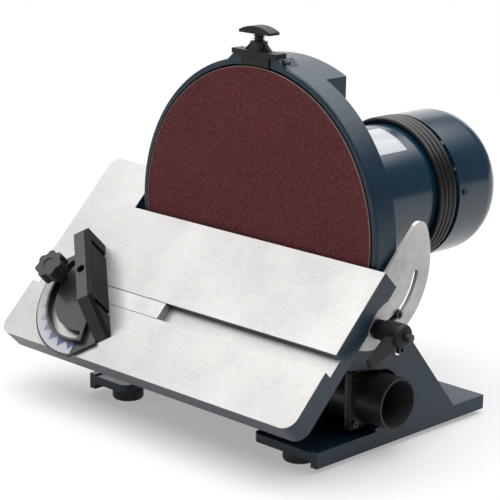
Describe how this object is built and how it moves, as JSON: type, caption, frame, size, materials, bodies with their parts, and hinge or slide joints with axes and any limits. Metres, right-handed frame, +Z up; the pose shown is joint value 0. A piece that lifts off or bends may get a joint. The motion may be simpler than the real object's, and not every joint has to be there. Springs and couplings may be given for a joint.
{
  "type": "benchtop disc sander",
  "caption": "Benchtop disc sander with a hooded vertical disc, a tilting table with mitre gauge, a push disc brake, a side dust port and a motor with its cord wound round it.",
  "frame": {"origin": "centre of the bench bolt pattern, on the bench", "axes": "+Z up, +X to the operator's right, +Y to the back, so the disc faces -Y"},
  "size_m": [0.4496, 0.4392, 0.392],
  "materials": {
    "blue_paint": "semi-gloss",
    "ground_iron": "ground",
    "steel": "satin",
    "zinc_steel": "zinc plated",
    "aluminium": "satin",
    "black_plastic": "matte",
    "grey_cast": "fine matte paint",
    "black_oxide": "blackened steel",
    "rubber": "matte",
    "abrasive": "coarse",
    "copper": "lacquered"
  },
  "bodies": {
    "frame": {"base_casting": "blue_paint", "rubber_feet": "rubber", "disc_housing": "blue_paint", "housing_bolts": "black_oxide", "bolt_washers": "zinc_steel", "dust_duct": "black_plastic", "dust_port": "black_plastic", "port_screws": "steel", "brake_bracket": "black_plastic", "brake_screws": "steel", "brake_side_screw": "steel", "brake_spring": "steel", "motor_barrel": "blue_paint", "front_bell": "aluminium", "rear_bell": "aluminium", "motor_bolts": "steel", "stator_core": "steel", "stator_windings": "copper", "front_bearing": "steel", "rear_bearing": "steel", "fan_cover": "blue_paint", "cover_screws": "steel", "data_plate": "aluminium", "switch_box": "black_plastic", "switch_lid": "black_plastic", "lid_screws": "steel", "run_capacitor": "aluminium", "power_switch": "black_plastic", "cord_gland": "rubber", "power_cord": "rubber", "power_plug": "rubber", "plug_pins": "steel", "guide_screws": "black_oxide", "lock_studs": "black_oxide", "lever_nuts": "black_oxide"},
    "rotor": {"motor_shaft": "steel", "rotor_core": "steel", "cooling_fan": "black_plastic", "disc_plate": "aluminium", "sanding_disc": "abrasive", "hub_screw": "steel"},
    "table": {"table_top": "ground_iron", "trunnion_right": "zinc_steel", "trunnion_left": "zinc_steel", "trunnion_screws": "steel"},
    "lever_right": {"lock_lever_right": "black_plastic", "lever_collar_right": "black_plastic"},
    "lever_left": {"lock_lever_left": "black_plastic", "lever_collar_left": "black_plastic"},
    "mitre_slide": {"mitre_bar": "zinc_steel", "mitre_pivot": "steel", "mitre_stud": "steel"},
    "mitre_swing": {"mitre_head": "grey_cast", "mitre_face": "black_plastic", "mitre_scale": "aluminium"},
    "knob": {"mitre_knob": "black_plastic"},
    "brake": {"brake_plunger": "black_plastic", "brake_shoe": "rubber"},
    "rocker": {"switch_rocker": "black_plastic"}
  },
  "joints": [
    {"name": "disc_spin", "type": "hinge", "parent": "frame", "child": "rotor", "pos_m": [0, 0, 0.2], "axis": [0, 1, 0], "continuous": true},
    {"name": "table_tilt", "type": "hinge", "parent": "frame", "child": "table", "pos_m": [0, -0.052, 0.184], "axis": [-1, 0, 0], "range_deg": [0, 45]},
    {"name": "lever_right_turn", "type": "hinge", "parent": "frame", "child": "lever_right", "pos_m": [0.19, -0.05003, 0.12753], "axis": [1, 0, 0], "range_deg": [0, 80]},
    {"name": "lever_left_turn", "type": "hinge", "parent": "frame", "child": "lever_left", "pos_m": [-0.19, -0.05003, 0.12753], "axis": [1, 0, 0], "range_deg": [0, 80]},
    {"name": "mitre_travel", "type": "slide", "parent": "table", "child": "mitre_slide", "axis": [1, 0, 0], "range_m": [-0.015, 0.16]},
    {"name": "mitre_angle", "type": "hinge", "parent": "mitre_slide", "child": "mitre_swing", "pos_m": [-0.138, -0.12377, 0.11223], "axis": [0, -0.7071, 0.7071], "range_deg": [-100, 16]},
    {"name": "mitre_knob_turn", "type": "hinge", "parent": "mitre_slide", "child": "knob", "pos_m": [-0.1935, -0.12377, 0.11223], "axis": [0, -0.7071, 0.7071], "range_deg": [0, 180]},
    {"name": "brake_push", "type": "slide", "parent": "frame", "child": "brake", "axis": [0, 0, -1], "range_m": [0, 0.0042], "stiffness_N_per_m": 900, "springref_m": -0.003, "deforming": ["brake_spring"]},
    {"name": "power_rock", "type": "hinge", "parent": "frame", "child": "rocker", "pos_m": [-0.121, 0.084, 0.253], "axis": [0, 1, 0], "range_deg": [0, 20]}
  ]
}
